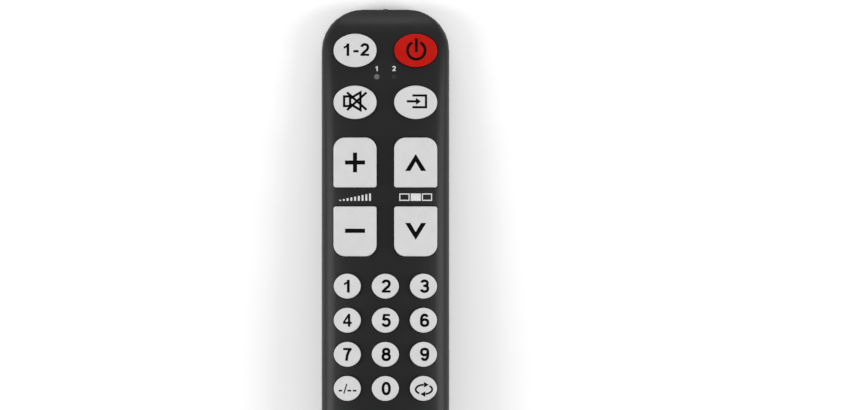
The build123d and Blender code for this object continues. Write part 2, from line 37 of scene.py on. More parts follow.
# Place of the view in the photograph, in its pixels
image_width = 854
image_height = 410
photo_centre_x = 385.5
photo_head_y = 9.8
photo_body_width = 127.5
camera_distance = 4.0
sensor_width = 36.0

# How much the floor glows where the camera sees it, so that it is white outside the shadow: near
# the object, and far from it, where the lamps give less
near_glow, far_glow = 0.13, 0.62
near_reach, far_reach = 0.25, 0.9
floor_half = 4.0
floor_drop = 0.0002
floor_grey = 0.75
floor_white = 0.98

# Lamps, in the housing's directions: places, sizes and watts, and the even light from all round
side_lamp_place = (0.95, -0.16, 0.50)
side_lamp_size = (0.5, 0.9)
side_lamp_watts = 7.2
head_lamp_place = (0, 1.0, 0.42)
head_lamp_size = (0.9, 0.4)
head_lamp_watts = 3.2
world_strength = 0.45

# Share of half the width past which the housing is at its widest
widest_share = 0.998
# Edges sharper than these, in degrees, stay sharp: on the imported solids, the caps and the screws
solid_seam_angle = 32
cap_edge_angle = 40
screw_edge_angle = 30

# Keys: rounding of their edges, steps of the curves, and the shapes of their outlines. The cap's
# wall is read from the points past a share of the key's half width, beside its narrower foot.
key_round = 0.55 * mm
cap_wall_share = 0.9
round_steps = 6
outline_steps = 96
wall_ring_shares = (0.5, 1.0)
inner_ring_shares = (0.9, 0.7, 0.4)
probe_shares = (-0.6, -0.3, 0.0, 0.3, 0.6)
oval_side_share = 0.85
outer_corner = 4.9 * mm
inner_corner = 1.0 * mm

# Printed symbols: height over the surface, depth into it and the grid that bends them to it
ink_height = 0.02 * mm
ink_depth = 0.06 * mm
ink_grid = 1.0 * mm
label_row = 80.1 * mm
indicator_number_row = 25.2 * mm
indicator_number_height = 2.1
selector_digit_height = 5.3
# A ray that looks for a surface starts this far over the frame's origin
ray_start = 1.0

# Cells, counted from the button's end: start of the jacket, end of its band, end of the jacket
jacket_start = 1.6 * mm
band_end = 7.0 * mm
jacket_end = 43.7 * mm

# Case screws: the cross that a driver fits, the edge of the head and the point
cross_reach = 1.35 * mm
cross_half_width = 0.3 * mm
cross_depth = 0.8 * mm
cross_taper_share = 0.75
screw_edge = 0.3 * mm
screw_point = 1.2 * mm
screw_tip_share = 0.25
screw_steps = 36

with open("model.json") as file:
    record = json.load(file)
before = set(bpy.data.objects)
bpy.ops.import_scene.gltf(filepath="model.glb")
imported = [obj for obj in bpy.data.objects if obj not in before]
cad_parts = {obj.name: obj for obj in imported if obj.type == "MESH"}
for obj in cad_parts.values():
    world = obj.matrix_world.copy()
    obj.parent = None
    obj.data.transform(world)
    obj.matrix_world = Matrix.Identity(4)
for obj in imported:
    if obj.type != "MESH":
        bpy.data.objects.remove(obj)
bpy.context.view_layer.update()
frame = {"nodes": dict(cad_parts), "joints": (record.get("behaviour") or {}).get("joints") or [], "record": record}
nodes = frame["nodes"]
record = frame["record"]
slots = {part["node"]: part["material_slot"] for part in record["subparts"]}

press_axis = next(joint for joint in frame["joints"] if joint["name"] == "key_5_press")["axis"]
out = -Vector(press_axis).normalized()
across = Vector((1, 0, 0))
ahead = out.cross(across)
housing = Matrix((across, ahead, out)).transposed()


def local_points(node):
    """A node's vertices in the housing's own directions, about the frame's origin."""
    coordinates = np.zeros(len(node.data.vertices) * 3, np.float32)
    node.data.vertices.foreach_get("co", coordinates)
    return coordinates.reshape(-1, 3).astype(float) @ np.array(housing)


def to_frame(point):
    """A point in the housing's directions, as a point in the frame."""
    return housing @ Vector(point)


body_points = np.vstack([local_points(nodes[name]) for name in ("top_case", "bottom_case")])
body_low = body_points.min(axis=0)
body_high = body_points.max(axis=0)
body_width = body_high[0] - body_low[0]
head = body_high[1]
widest = np.abs(body_points[:, 0]) > widest_share * body_width / 2
widest_level = body_points[widest, 2].mean()


class Shader:
    """A node material that is put together line by line."""

    def __init__(self, name):
        self.material = bpy.data.materials.new(name)
        self.material.use_nodes = True
        self.tree = self.material.node_tree
        self.surface = self.tree.nodes["Principled BSDF"]
        self.place = self.add("ShaderNodeTexCoord").outputs["Object"]

    def add(self, kind, inputs=None, **settings):
        node = self.tree.nodes.new(kind)
        for name, value in settings.items():
            setattr(node, name, value)
        for name, value in (inputs or {}).items():
            self.join(value, node.inputs[name])
        return node

    def join(self, value, socket):
        if isinstance(value, bpy.types.NodeSocket):
            self.tree.links.new(value, socket)
        else:
            socket.default_value = value

    def set(self, **values):
        for name, value in values.items():
            self.join(value, self.surface.inputs[name.replace("_", " ")])

    def noise(self, size, detail=3.0, stretch=(1, 1, 1)):
        """Noise whose grains are about this long, from 0 to 1."""
        place = self.add("ShaderNodeVectorMath", {0: self.place, 1: stretch}, operation="MULTIPLY")
        inputs = {"Vector": place.outputs[0], "Scale": 1 / size, "Detail": detail}
        return self.add("ShaderNodeTexNoise", inputs).outputs["Fac"]

    def cells(self, size):
        """Distance to the nearest of scattered points about this far apart."""
        inputs = {"Vector": self.place, "Scale": 1 / size}
        return self.add("ShaderNodeTexVoronoi", inputs).outputs["Distance"]

    def spread(self, factor, low, high, low_at=0.3, high_at=0.7):
        """Values or colours from low to high as a factor goes between two limits."""
        ranged = self.add("ShaderNodeMapRange", {
            "Value": factor, "From Min": low_at, "From Max": high_at,
        }).outputs["Result"]
        if isinstance(low, tuple):
            mix = self.add("ShaderNodeMix", data_type="RGBA")
            self.join(ranged, mix.inputs["Factor"])
            self.join((*low, 1), mix.inputs[6])
            self.join((*high, 1), mix.inputs[7])
            return mix.outputs[2]
        return self.add("ShaderNodeMapRange", {
            "Value": ranged, "To Min": low, "To Max": high,
        }).outputs["Result"]

    def bump(self, height, distance, strength=1.0, normal=None):
        """Relief of this height in metres, put on the surface or on a given normal."""
        inputs = {"Height": height, "Distance": distance, "Strength": strength}
        if normal:
            inputs["Normal"] = normal
        return self.add("ShaderNodeBump", inputs).outputs["Normal"]


def case_plastic():
    """Dark moulded plastic with a fine spark-eroded texture and faint handling marks."""
    made = Shader("case_plastic")
    grain = made.cells(0.42 * mm)
    fine = made.noise(0.18 * mm, 2.0)
    marks = made.noise(14 * mm, 4.0, (1.0, 0.4, 1.0))
    colour = made.spread(marks, (0.0047, 0.0047, 0.0050), (0.0063, 0.0063, 0.0066))
    rough = made.spread(marks, 0.33, 0.40)
    relief = made.bump(grain, 0.010 * mm, 0.5)
    made.set(
        Base_Color=colour, Roughness=rough, Specular_IOR_Level=0.21,
        Normal=made.bump(fine, 0.004 * mm, 0.5, relief),
    )
    return made.material


def silicone(name, low, high, rough, gloss=0.2):
    """Matt silicone: a slight mottle, a soft skin and a dusting of fine texture."""
    made = Shader(name)
    mottle = made.noise(5 * mm, 4.0)
    fine = made.noise(0.25 * mm, 3.0)
    made.set(
        Base_Color=made.spread(mottle, low, high), Roughness=made.spread(mottle, rough, rough + 0.06),
        Specular_IOR_Level=gloss,
        Normal=made.bump(fine, 0.006 * mm, 0.5),
    )
    return made.material


def ink(name, colour):
    """Printed ink: matt, with a barely uneven coat."""
    made = Shader(name)
    coat = made.noise(0.5 * mm, 2.0)
    lighter = tuple(min(1.0, channel * 1.15 + 0.001) for channel in colour)
    made.set(
        Base_Color=made.spread(coat, colour, lighter), Roughness=made.spread(coat, 0.5, 0.6),
        Specular_IOR_Level=0.04,
        Normal=made.bump(coat, 0.004 * mm, 0.4),
    )
    return made.material


def moulded(name, low, high, rough, grain=0.5 * mm, relief=0.004 * mm, **extra):
    """A plain moulded or lacquered finish with a little unevenness."""
    made = Shader(name)
    clouds = made.noise(4 * mm, 3.0)
    fine = made.noise(grain, 2.0)
    made.set(
        Base_Color=made.spread(clouds, low, high), Roughness=made.spread(clouds, rough, rough + 0.08),
        Normal=made.bump(fine, relief, 0.5), **extra,
    )
    return made.material


def metal(name, low, high, rough):
    """Plated metal with fine drawn lines along it."""
    made = Shader(name)
    lines = made.noise(0.3 * mm, 3.0, (1.0, 0.08, 1.0))
    made.set(
        Base_Color=made.spread(lines, low, high), Metallic=1.0,
        Roughness=made.spread(lines, rough, rough + 0.15), Normal=made.bump(lines, 0.004 * mm, 0.4),
    )
    return made.material


def cell_jacket(name, button_at, towards):
    """Film jacket of a cell: slate with a pale band below the button, between bare metal ends.

    The button's end is at this place along the housing, and the cell reaches from there towards
    the head (1) or the tail (-1).
    """
    made = Shader(name)
    clouds = made.noise(6 * mm, 3.0)
    inputs = {0: made.place, 1: tuple(ahead)}
    place = made.add("ShaderNodeVectorMath", inputs, operation="DOT_PRODUCT").outputs["Value"]
    distance = made.add("ShaderNodeMath", {0: place, 1: button_at}, operation="SUBTRACT").outputs[0]
    distance = made.add("ShaderNodeMath", {0: distance, 1: towards}, operation="MULTIPLY").outputs[0]

    def past(limit):
        inputs = {0: distance, 1: limit}
        return made.add("ShaderNodeMath", inputs, operation="GREATER_THAN").outputs[0]

    def mixed(factor, first, second):
        mix = made.add("ShaderNodeMix", data_type="RGBA")
        made.join(factor, mix.inputs["Factor"])
        made.join(first, mix.inputs[6])
        made.join(second, mix.inputs[7])
        return mix.outputs[2]

    steel = made.spread(clouds, (0.52, 0.52, 0.53), (0.60, 0.60, 0.61))
    pale = made.spread(clouds, (0.34, 0.37, 0.38), (0.40, 0.43, 0.44))
    slate = made.spread(clouds, (0.045, 0.085, 0.105), (0.055, 0.10, 0.122))
    colour = mixed(past(jacket_start), steel, pale)
    colour = mixed(past(band_end), colour, slate)
    colour = mixed(past(jacket_end), colour, steel)
    made.set(
        Base_Color=colour, Metallic=0.6, Roughness=made.spread(clouds, 0.26, 0.34),
        Normal=made.bump(clouds, 0.01 * mm, 0.3),
    )
    return made.material


materials = {
    "case_plastic": case_plastic(),
    "key_grey": silicone("key_grey", (0.62, 0.62, 0.62), (0.66, 0.66, 0.66), 0.55),
    "key_red": silicone("key_red", (0.45, 0.006, 0.003), (0.49, 0.009, 0.005), 0.5, 0.07),
    "sheet_silicone": silicone("sheet_silicone", (0.50, 0.50, 0.50), (0.56, 0.56, 0.56), 0.6),
    "board_laminate": moulded("board_laminate", (0.02, 0.09, 0.035), (0.03, 0.12, 0.05), 0.3),
    "chip_body": moulded("chip_body", (0.012, 0.012, 0.013), (0.02, 0.02, 0.021), 0.5),
    "ceramic": moulded("ceramic", (0.35, 0.15, 0.03), (0.45, 0.20, 0.05), 0.35),
    "capacitor_sleeve": moulded("capacitor_sleeve", (0.01, 0.012, 0.03), (0.02, 0.022, 0.05), 0.25),
    "led_chip": moulded("led_chip", (0.55, 0.55, 0.45), (0.65, 0.65, 0.55), 0.3),
    "infrared_lens": moulded(
        "infrared_lens", (0.006, 0.005, 0.008), (0.010, 0.008, 0.014), 0.15, Specular_IOR_Level=0.2,
    ),
    "screw_steel": metal("screw_steel", (0.45, 0.45, 0.46), (0.58, 0.58, 0.59), 0.3),
    "contact_metal": metal("contact_metal", (0.55, 0.54, 0.50), (0.68, 0.67, 0.63), 0.25),
    "light_pipe": moulded(
        "light_pipe", (0.012, 0.012, 0.013), (0.016, 0.016, 0.017), 0.3, Specular_IOR_Level=0.25,
    ),
}
black_ink = ink("black_ink", (0.001, 0.001, 0.001))
white_ink = ink("white_ink", (0.70, 0.70, 0.70))


def put_on(piece, material):
    """Gives a piece this one material."""
    piece.data.materials.clear()
    piece.data.materials.append(material)


for name, node in nodes.items():
    if slots[name] != "cell_jacket":
        put_on(node, materials[slots[name]])
for side, towards in (("left", -1), ("right", 1)):
    name = f"battery_cell_{side}"
    cell = local_points(nodes[name])[:, 1]
    button_at = cell.max() if towards < 0 else cell.min()
    put_on(nodes[name], cell_jacket(f"cell_jacket_{side}", float(button_at), towards))
# Painted light: the left light pipe gets a paler copy of the same light-pipe material, so that its lens looks lit
put_on(nodes["light_pipe_left"], moulded(
    "light_pipe_painted_lit", (0.10, 0.10, 0.10), (0.125, 0.125, 0.125), 0.3,
))


def new_object(name, work):
    """An object from a bmesh, in the frame."""
    mesh = bpy.data.meshes.new(name)
    work.to_mesh(mesh)
    work.free()
    piece = bpy.data.objects.new(name, mesh)
    bpy.context.scene.collection.objects.link(piece)
    return piece


def shade_by_angle(piece, angle):
    """Smooth shading but for edges sharper than this angle."""
    for polygon in piece.data.polygons:
        polygon.use_smooth = True
    piece.data.set_sharp_from_angle(angle=math.radians(angle))


def smooth_over_seams(piece, angle):
    """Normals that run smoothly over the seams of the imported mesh, but for sharper edges.

    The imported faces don't share their vertices, so corners are matched by their places.
    """
    mesh = piece.data
    limit = math.cos(math.radians(angle))
    places = [tuple(round(value / weld) for value in vertex.co) for vertex in mesh.vertices]
    meeting = {}
    corners = []
    for polygon in mesh.polygons:
        normal = polygon.normal.copy()
        ring = list(polygon.vertices)
        for index, vertex in enumerate(ring):
            here = mesh.vertices[vertex].co
            before = mesh.vertices[ring[index - 1]].co - here
            after = mesh.vertices[ring[(index + 1) % len(ring)]].co - here
            wide = before.angle(after) if before.length and after.length else 0.0
            corners.append((places[vertex], normal))
            meeting.setdefault(places[vertex], []).append((normal, wide))
    normals = []
    for place, normal in corners:
        total = Vector()
        for other, wide in meeting[place]:
            if normal.dot(other) > limit:
                total += other * wide
        normals.append(total.normalized() if total.length else normal)
    for polygon in mesh.polygons:
        polygon.use_smooth = True
    mesh.normals_split_custom_set(normals)


def oval(half_width, half_length):
    """Outline of four arcs that meet smoothly, tight at the sides, with its outward normals."""
    tight = oval_side_share * half_length
    reach = half_width - tight
    rise = half_length - tight
    drop = (reach**2 - rise**2) / (2 * rise)
    meeting = math.atan2(drop, reach)
    steps = outline_steps // 4
    arcs = [
        ((reach, 0), tight, -meeting, meeting),
        ((0, -drop), half_length + drop, meeting, math.pi - meeting),
        ((-reach, 0), tight, math.pi - meeting, math.pi + meeting),
        ((0, drop), half_length + drop, math.pi + meeting, 2 * math.pi - meeting),
    ]
    points = []
    for centre, radius, start, end in arcs:
        for step in range(steps):
            turn = start + (end - start) * step / steps
            normal = Vector((math.cos(turn), math.sin(turn)))
            points.append((Vector(centre) + radius * normal, normal))
    return points


def rounded_rectangle(half_width, half_length, upper, lower):
    """Outline of a rectangle with its own corner radii at the head's and the tail's side."""
    points = []
    corners = [(1, 1, upper), (-1, 1, upper), (-1, -1, lower), (1, -1, lower)]
    steps = outline_steps // 4
    for index, (side, end, radius) in enumerate(corners):
        centre = Vector((side * (half_width - radius), end * (half_length - radius)))
        for step in range(steps):
            turn = math.pi / 2 * (index + step / (steps - 1))
            normal = Vector((math.cos(turn), math.sin(turn)))
            points.append((centre + radius * normal, normal))
    return points


class Key:
    """A key cap as fine as the eye sees, on the place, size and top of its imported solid."""

    def __init__(self, name):
        self.name = name
        points = local_points(nodes[name])
        low, high = points.min(axis=0), points.max(axis=0)
        self.centre = Vector((low[0] + high[0], low[1] + high[1])) / 2
        self.half = Vector((high[0] - low[0], high[1] - low[1])) / 2
        self.fit_top(surface_of(nodes[name]))
        wall_points = points[np.abs(points[:, 0] - self.centre.x) > cap_wall_share * self.half.x]
        self.cap_floor = wall_points[:, 2].min()

    def fit_top(self, surface):
        """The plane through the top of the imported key, found by dropping rays on it."""
        places = [
            (x * self.half.x, y * self.half.y) for x in probe_shares for y in probe_shares
        ]
        heights = []
        for x, y in places:
            start = to_frame((self.centre.x + x, self.centre.y + y, ray_start))
            heights.append(surface.ray_cast(start, -out)[0].dot(out))
        terms = np.array([(1, x, y) for x, y in places])
        self.plane = np.linalg.lstsq(terms, np.array(heights), rcond=None)[0]

    def top(self, x, y):
        """Height of the top at a place counted from the key's centre."""
        return float(np.dot(self.plane, (1, x, y)))

    def outline(self):
        """Points of the key's outline with their outward normals."""
        if self.name.startswith(("key_volume", "key_channel")):
            radii = (outer_corner, inner_corner)
            if self.name.endswith("down"):
                radii = radii[::-1]
            return rounded_rectangle(self.half.x, self.half.y, *radii)
        return oval(self.half.x, self.half.y)

    def build(self, material):
        """The cap: a straight wall, a rounded edge, and a top that lies in the fitted plane."""
        work = bmesh.new()
        outline = self.outline()
        rings = []

        def ring(points):
            rings.append([
                work.verts.new(to_frame((self.centre.x + x, self.centre.y + y, z)))
                for x, y, z in points
            ])

        radius = key_round
        walls = [point for point, _ in outline]
        ring([(point.x, point.y, self.cap_floor) for point in walls])
        for share in wall_ring_shares:
            ring([
                (p.x, p.y, self.cap_floor + share * (self.top(p.x, p.y) - radius - self.cap_floor))
                for p in walls
            ])
        for step in range(1, round_steps + 1):
            turn = math.pi / 2 * step / round_steps
            inward = radius * (1 - math.cos(turn))
            drop = radius * (1 - math.sin(turn))
            moved = [point - inward * normal for point, normal in outline]
            ring([(p.x, p.y, self.top(p.x, p.y) - drop) for p in moved])
        edge = [point - radius * normal for point, normal in outline]
        for share in inner_ring_shares:
            ring([(p.x * share, p.y * share, self.top(p.x * share, p.y * share)) for p in edge])
        for lower, upper in zip(rings, rings[1:]):
            bridge(work, lower, upper)
        centre = work.verts.new(to_frame((*self.centre, self.top(0, 0))))
        for index in range(len(rings[-1])):
            after = (index + 1) % len(rings[-1])
            work.faces.new((rings[-1][index], rings[-1][after], centre))
        work.faces.new(list(reversed(rings[0])))
        bmesh.ops.remove_doubles(work, verts=work.verts, dist=weld / 2)
        bmesh.ops.recalc_face_normals(work, faces=work.faces)
        cap = new_object(f"{self.name}_cap", work)
        shade_by_angle(cap, cap_edge_angle)
        put_on(cap, material)
        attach(cap, self.name)
        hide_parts(self.name)
        return cap


def ring_at(work, centre, points, height):
    """Vertices about a centre, at a height of the housing."""
    return [work.verts.new(to_frame((centre[0] + x, centre[1] + y, height))) for x, y in points]


def bridge(work, first, second):
    """A band of faces between two rings with as many points."""
    for index in range(len(first)):
        after = (index + 1) % len(first)
        work.faces.new((first[index], first[after], second[after], second[index]))


def add_screw(work, points):
    """A screw on the place of a packed one: edged head with a cross recess, shank and point."""
    centre = (points.min(axis=0) + points.max(axis=0)) / 2
    heights = points[:, 2]
    face, tip = heights.min(), heights.max()
    bearing = heights[(heights > face + weld) & (heights < tip - weld)].mean()
    reach = np.hypot(points[:, 0] - centre[0], points[:, 1] - centre[1])
    head_radius, shank_radius = reach.max(), reach[heights > bearing + weld].max()
    turns = [2 * math.pi * step / screw_steps for step in range(screw_steps)]
    circle = [(math.cos(turn), math.sin(turn)) for turn in turns]
    rings = [
        ring_at(work, centre, [(radius * x, radius * y) for x, y in circle], height)
        for radius, height in (
            (head_radius - screw_edge, face), (head_radius, face + screw_edge), (head_radius, bearing),
            (shank_radius, bearing), (shank_radius, tip - screw_point),
            (screw_tip_share * shank_radius, tip),
        )
    ]
    for first, second in zip(rings, rings[1:]):
        bridge(work, first, second)
    work.faces.new(rings[-1])
    arm, side = cross_reach, cross_half_width
    cross = [
        (arm, -side), (arm, side), (side, side), (side, arm), (-side, arm), (-side, side),
        (-arm, side), (-arm, -side), (-side, -side), (-side, -arm), (side, -arm), (side, -side),
    ]
    mouth = ring_at(work, centre, cross, face)
    floor = ring_at(
        work, centre, [(cross_taper_share * x, cross_taper_share * y) for x, y in cross],
        face + cross_depth,
    )
    bridge(work, mouth, floor)
    work.faces.new(floor)
    around = [
        work.edges.get((ring[index - 1], ring[index]))
        for ring in (rings[0], mouth) for index in range(len(ring))
    ]
    bmesh.ops.triangle_fill(work, edges=around, use_beauty=True)


def build_case_screws():
    """The two screws under the battery door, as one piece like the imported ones."""
    points = local_points(nodes["case_screws"])
    work = bmesh.new()
    for side in (-1, 1):
        add_screw(work, points[points[:, 0] * side > 0])
    bmesh.ops.recalc_face_normals(work, faces=work.faces)
    screws = new_object("case_screws_recessed", work)
    shade_by_angle(screws, screw_edge_angle)
    put_on(screws, materials[slots["case_screws"]])
    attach(screws, "housing")
    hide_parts("case_screws")


class Print:
    """Flat shapes, drawn in millimetres about a point, that are then laid on a surface as ink."""

    def __init__(self):
        self.work = bmesh.new()
        self.scale = 1.0
        self.shift = (0.0, 0.0)

    def put(self, scale, shift):
        """What is drawn next is scaled and shifted by this much."""
        self.scale, self.shift = scale, shift

    def polygon(self, points):
        corners = [
            (x * self.scale + self.shift[0], y * self.scale + self.shift[1], 0) for x, y in points
        ]
        face = self.work.faces.new([self.work.verts.new(corner) for corner in corners])
        face.normal_update()
        if face.normal.z < 0:
            face.normal_flip()

    def bar(self, left, right, low, high):
        self.polygon([(left, low), (right, low), (right, high), (left, high)])

    def stroke(self, points, width, closed=False):
        """A line of even width with mitred corners."""
        points = [Vector(point) for point in points]
        count = len(points)
        sides = ([], [])
        for index, point in enumerate(points):
            before = points[index - 1] if closed or index else None
            after = points[(index + 1) % count] if closed or index < count - 1 else None
            into = (point - before).normalized() if before else (after - point).normalized()
            away = (after - point).normalized() if after else into
            normal = Vector((-into.y - away.y, into.x + away.x)).normalized()
            reach = width / 2 / max(0.3, normal.dot(Vector((-into.y, into.x))))
            sides[0].append(point + reach * normal)
            sides[1].append(point - reach * normal)
        for index in range(count if closed else count - 1):
            after = (index + 1) % count
            self.polygon([sides[0][index], sides[1][index], sides[1][after], sides[0][after]])

    def arc(self, centre, radii, start, end, width, fullness=1.0, steps=40):
        """Part of an oval ring, between two angles in degrees, fuller than an ellipse below 1."""
        def reach(value):
            return math.copysign(abs(value) ** fullness, value)

        points = []
        closed = abs(end - start) >= 360
        for step in range(steps if closed else steps + 1):
            turn = math.radians(start + (end - start) * step / steps)
            x, y = reach(math.cos(turn)), reach(math.sin(turn))
            points.append((centre[0] + radii[0] * x, centre[1] + radii[1] * y))
        self.stroke(points, width, closed)

    def lay(self, name, centre, surface, material, body):
        """Cuts the shapes into a fine grid, drops them on a surface and gives them a thickness."""
        work = self.work
        bmesh.ops.remove_doubles(work, verts=work.verts, dist=0.0001)
        for vertex in work.verts:
            vertex.co *= mm
        reach = max(max(abs(vertex.co.x), abs(vertex.co.y)) for vertex in work.verts)
        steps = math.ceil(reach / ink_grid)
        for axis in ((1, 0, 0), (0, 1, 0)):
            for step in range(-steps, steps + 1):
                geometry = work.verts[:] + work.edges[:] + work.faces[:]
                place = Vector(axis) * step * ink_grid
                bmesh.ops.bisect_plane(work, geom=geometry, plane_co=place, plane_no=axis)
        top = work.faces[:]
        made = bmesh.ops.extrude_face_region(work, geom=top)
        raised = [item for item in made["geom"] if isinstance(item, bmesh.types.BMVert)]
        raised_set = set(raised)
        for vertex in work.verts:
            start = to_frame((centre[0] + vertex.co.x, centre[1] + vertex.co.y, ray_start))
            hit = surface.ray_cast(start, -out)[0]
            lift = ink_height if vertex in raised_set else -ink_depth
            vertex.co = hit + out * lift
        bmesh.ops.recalc_face_normals(work, faces=work.faces)
        piece = new_object(name, work)
        put_on(piece, material)
        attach(piece, body)
        return piece


def surface_of(piece):
    """What a ray can be dropped on to find a piece's surface."""
    return BVHTree.FromObject(piece, bpy.context.evaluated_depsgraph_get())


# Plain upright digits, 5.44 mm high with strokes of 1.15 mm: bars (left, right, low, high), arcs
# (centre, radii, start, end in degrees), polygons, and bent strokes, each given by its points.
digit_height = 5.44
digit_stroke = 1.15
digit_fullness = 0.88
digit_shapes = {
    "0": [("arc", (0, 0), (1.38, 2.29), 0, 360)],
    "1": [
        ("bar", -0.18, 1.0, -2.72, 2.72),
        ("polygon", (0.3, 2.72), (-0.15, 2.1), (-0.75, 1.62), (-1.44, 1.35), (-1.44, 0.45),
         (-0.7, 0.7), (0.3, 1.4)),
    ],
    "2": [
        ("arc", (0, 1.0), (1.35, 1.29), 172, -20),
        ("stroke", (1.27, 0.56), (0.85, -0.15), (-0.45, -1.2), (-1.28, -2.25)),
        ("bar", -1.9, 1.85, -2.72, -1.76),
    ],
    "3": [
        ("arc", (-0.05, 1.2), (1.24, 1.09), 168, -90),
        ("arc", (-0.05, -1.05), (1.42, 1.24), 90, -168),
        ("bar", -0.6, 0.0, -0.26, 0.58),
    ],
    "4": [
        ("bar", 0.2, 1.22, -2.72, 2.72),
        ("bar", -1.85, 1.85, -1.55, -0.62),
        ("polygon", (-1.85, -1.2), (-1.85, -0.62), (0.35, 2.72), (0.6, 2.72), (0.6, 1.7),
         (-0.98, -0.68), (-0.98, -1.2)),
    ],
    "5": [
        ("bar", -1.1, 1.6, 1.78, 2.72),
        ("stroke", (-0.82, 2.5), (-1.16, 0.02)),
        ("arc", (-0.05, -0.88), (1.43, 1.41), 142, -166),
    ],
    "6": [
        ("arc", (0.0, -1.0), (1.4, 1.29), 0, 360),
        ("arc", (0, 0), (1.4, 2.29), 202, 36),
    ],
    "7": [
        ("bar", -1.8, 1.8, 1.76, 2.72),
        ("stroke", (1.36, 2.4), (0.5, 1.1), (-0.12, -0.6), (-0.4, -2.72)),
    ],
    "8": [
        ("arc", (0, 1.24), (1.2, 1.05), 0, 360),
        ("arc", (0, -1.05), (1.42, 1.24), 0, 360),
    ],
    "9": [
        ("arc", (0.0, 1.0), (1.4, 1.29), 0, 360),
        ("arc", (0, 0), (1.4, 2.29), 22, -144),
    ],
}


def draw_digit(drawing, digit, height, shift):
    """A digit of this height, centred at a place."""
    drawing.put(height / digit_height, shift)
    for kind, *values in digit_shapes[digit]:
        if kind == "bar":
            drawing.bar(*values)
        elif kind == "polygon":
            drawing.polygon(values)
        elif kind == "stroke":
            drawing.stroke(values, digit_stroke)
        else:
            drawing.arc(*values, digit_stroke, digit_fullness)


# How far the digits of the three columns stand to the right of their keys' centres
column_shifts = (0.05, 0.37, 0.5)


def digit_drawing(digit):
    shift = column_shifts[(int(digit) - 1) % 3] if digit != "0" else column_shifts[1]

    def draw(drawing):
        draw_digit(drawing, digit, digit_height, (shift, 0))
    return draw


def draw_one_two(drawing):
    draw_digit(drawing, "1", selector_digit_height, (-3.45, 0.3))
    draw_digit(drawing, "2", selector_digit_height, (4.15, 0.3))
    drawing.put(1.0, (0.0, 0.0))
    drawing.bar(-0.75, 1.5, -0.85, 0.15)


def draw_power(drawing):
    drawing.arc((0.25, 0), (3.75, 3.75), 117, 423, 1.2, steps=60)
    drawing.bar(-0.36, 0.86, -0.7, 5.2)


def draw_mute(drawing):
    width = 1.0
    drawing.stroke([(-4.65, -1.6), (-2.1, -1.6), (-2.1, 2.5), (-4.65, 2.5)], width, True)
    drawing.stroke([(-2.1, 1.6), (2.3, 4.2), (2.3, -3.3), (-2.1, -0.7)], width)
    drawing.stroke([(-3.4, 4.2), (4.9, -3.2)], width)
    drawing.stroke([(-3.4, -3.3), (4.9, 4.2)], width)


def draw_source(drawing):
    drawing.stroke([(-1.4, 2.9), (4.4, 2.9), (4.4, -2.1), (-1.4, -2.1)], 0.95)
    drawing.bar(-3.8, 0.3, -0.08, 0.88)
    drawing.polygon([(0.1, -1.1), (2.2, 0.4), (0.1, 1.9)])


def draw_plus(drawing):
    drawing.bar(-4.25, 4.25, -0.87, 0.87)
    drawing.bar(-0.87, 0.87, 0.87, 4.2)
    drawing.bar(-0.87, 0.87, -4.2, -0.87)


def draw_minus(drawing):
    drawing.bar(-4.25, 4.25, -0.65, 1.15)


def draw_up(drawing):
    drawing.polygon([(-4.5, -3.6), (-2.3, -3.6), (0, 0.3), (0, 3.6)])
    drawing.polygon([(4.5, -3.6), (0, 3.6), (0, 0.3), (2.3, -3.6)])


def draw_down(drawing):
    drawing.polygon([(-4.5, 3.6), (0, -3.6), (0, -0.3), (-2.3, 3.6)])
    drawing.polygon([(4.5, 3.6), (2.3, 3.6), (0, -0.3), (0, -3.6)])


def draw_digits(drawing):
    for left, right in ((-3.7, -2.2), (0.05, 1.65), (2.4, 3.9)):
        drawing.bar(left, right, -1.3, -0.6)
    drawing.stroke([(-1.45, -2.2), (-0.2, 1.95)], 0.5)


def draw_swap(drawing):
    centre, radii = (0.2, -0.42), (3.5, 2.0)
    drawing.arc(centre, radii, 48, -78, 0.78)
    drawing.arc(centre, radii, 236, 92, 0.78)
    drawing.polygon([(0.2, 2.75), (2.3, 1.58), (0.2, 0.4)])
    drawing.polygon([(0.8, -3.6), (0.8, -1.25), (-1.35, -2.42)])


def draw_volume(drawing):
    """Bars that rise to the right, for the loudness."""
    for index in range(9):
        left = -6.75 + 1.59 * index
        drawing.bar(left, left + 0.8, -1.4, -1.0 + 0.34 * index)


def draw_channel(drawing):
    """Three screens in a row with the middle one lit, for the programme."""
    for left in (-6.75, 2.85):
        right = left + 3.9
        drawing.stroke([(left, -1.2), (right, -1.2), (right, 1.5), (left, 1.5)], 0.45, True)
    drawing.bar(-2.15, 2.15, -1.42, 1.72)


symbols = {
    "key_one_two": draw_one_two, "key_power": draw_power, "key_mute": draw_mute,
    "key_source": draw_source, "key_volume_up": draw_plus, "key_volume_down": draw_minus,
    "key_channel_up": draw_up, "key_channel_down": draw_down, "key_digits": draw_digits,
    "key_swap": draw_swap,
}
for digit in "0123456789":
    symbols[f"key_{digit}"] = digit_drawing(digit)

key_centres = {}
for name, draw in symbols.items():
    key = Key(name)
    key_centres[name] = key.centre
    cap = key.build(materials[slots[name]])
    drawing = Print()
    draw(drawing)
    drawing.lay(f"{name}_print", key.centre, surface_of(cap), black_ink, name)

case_surface = surface_of(nodes["top_case"])
for name, draw in (("volume", draw_volume), ("channel", draw_channel)):
    drawing = Print()
    draw(drawing)
    place = (key_centres[f"key_{name}_up"].x, head - label_row)
    drawing.lay(f"label_{name}", place, case_surface, white_ink, "housing")
for digit, side in (("1", "left"), ("2", "right")):
    pipe = local_points(nodes[f"light_pipe_{side}"])
    middle = (pipe.min(axis=0) + pipe.max(axis=0)) / 2
    drawing = Print()
    draw_digit(drawing, digit, indicator_number_height, (0, 0))
    place = (middle[0], head - indicator_number_row)
    drawing.lay(f"indicator_number_{digit}", place, case_surface, white_ink, "housing")

build_case_screws()
for node in nodes.values():
    smooth_over_seams(node, solid_seam_angle)


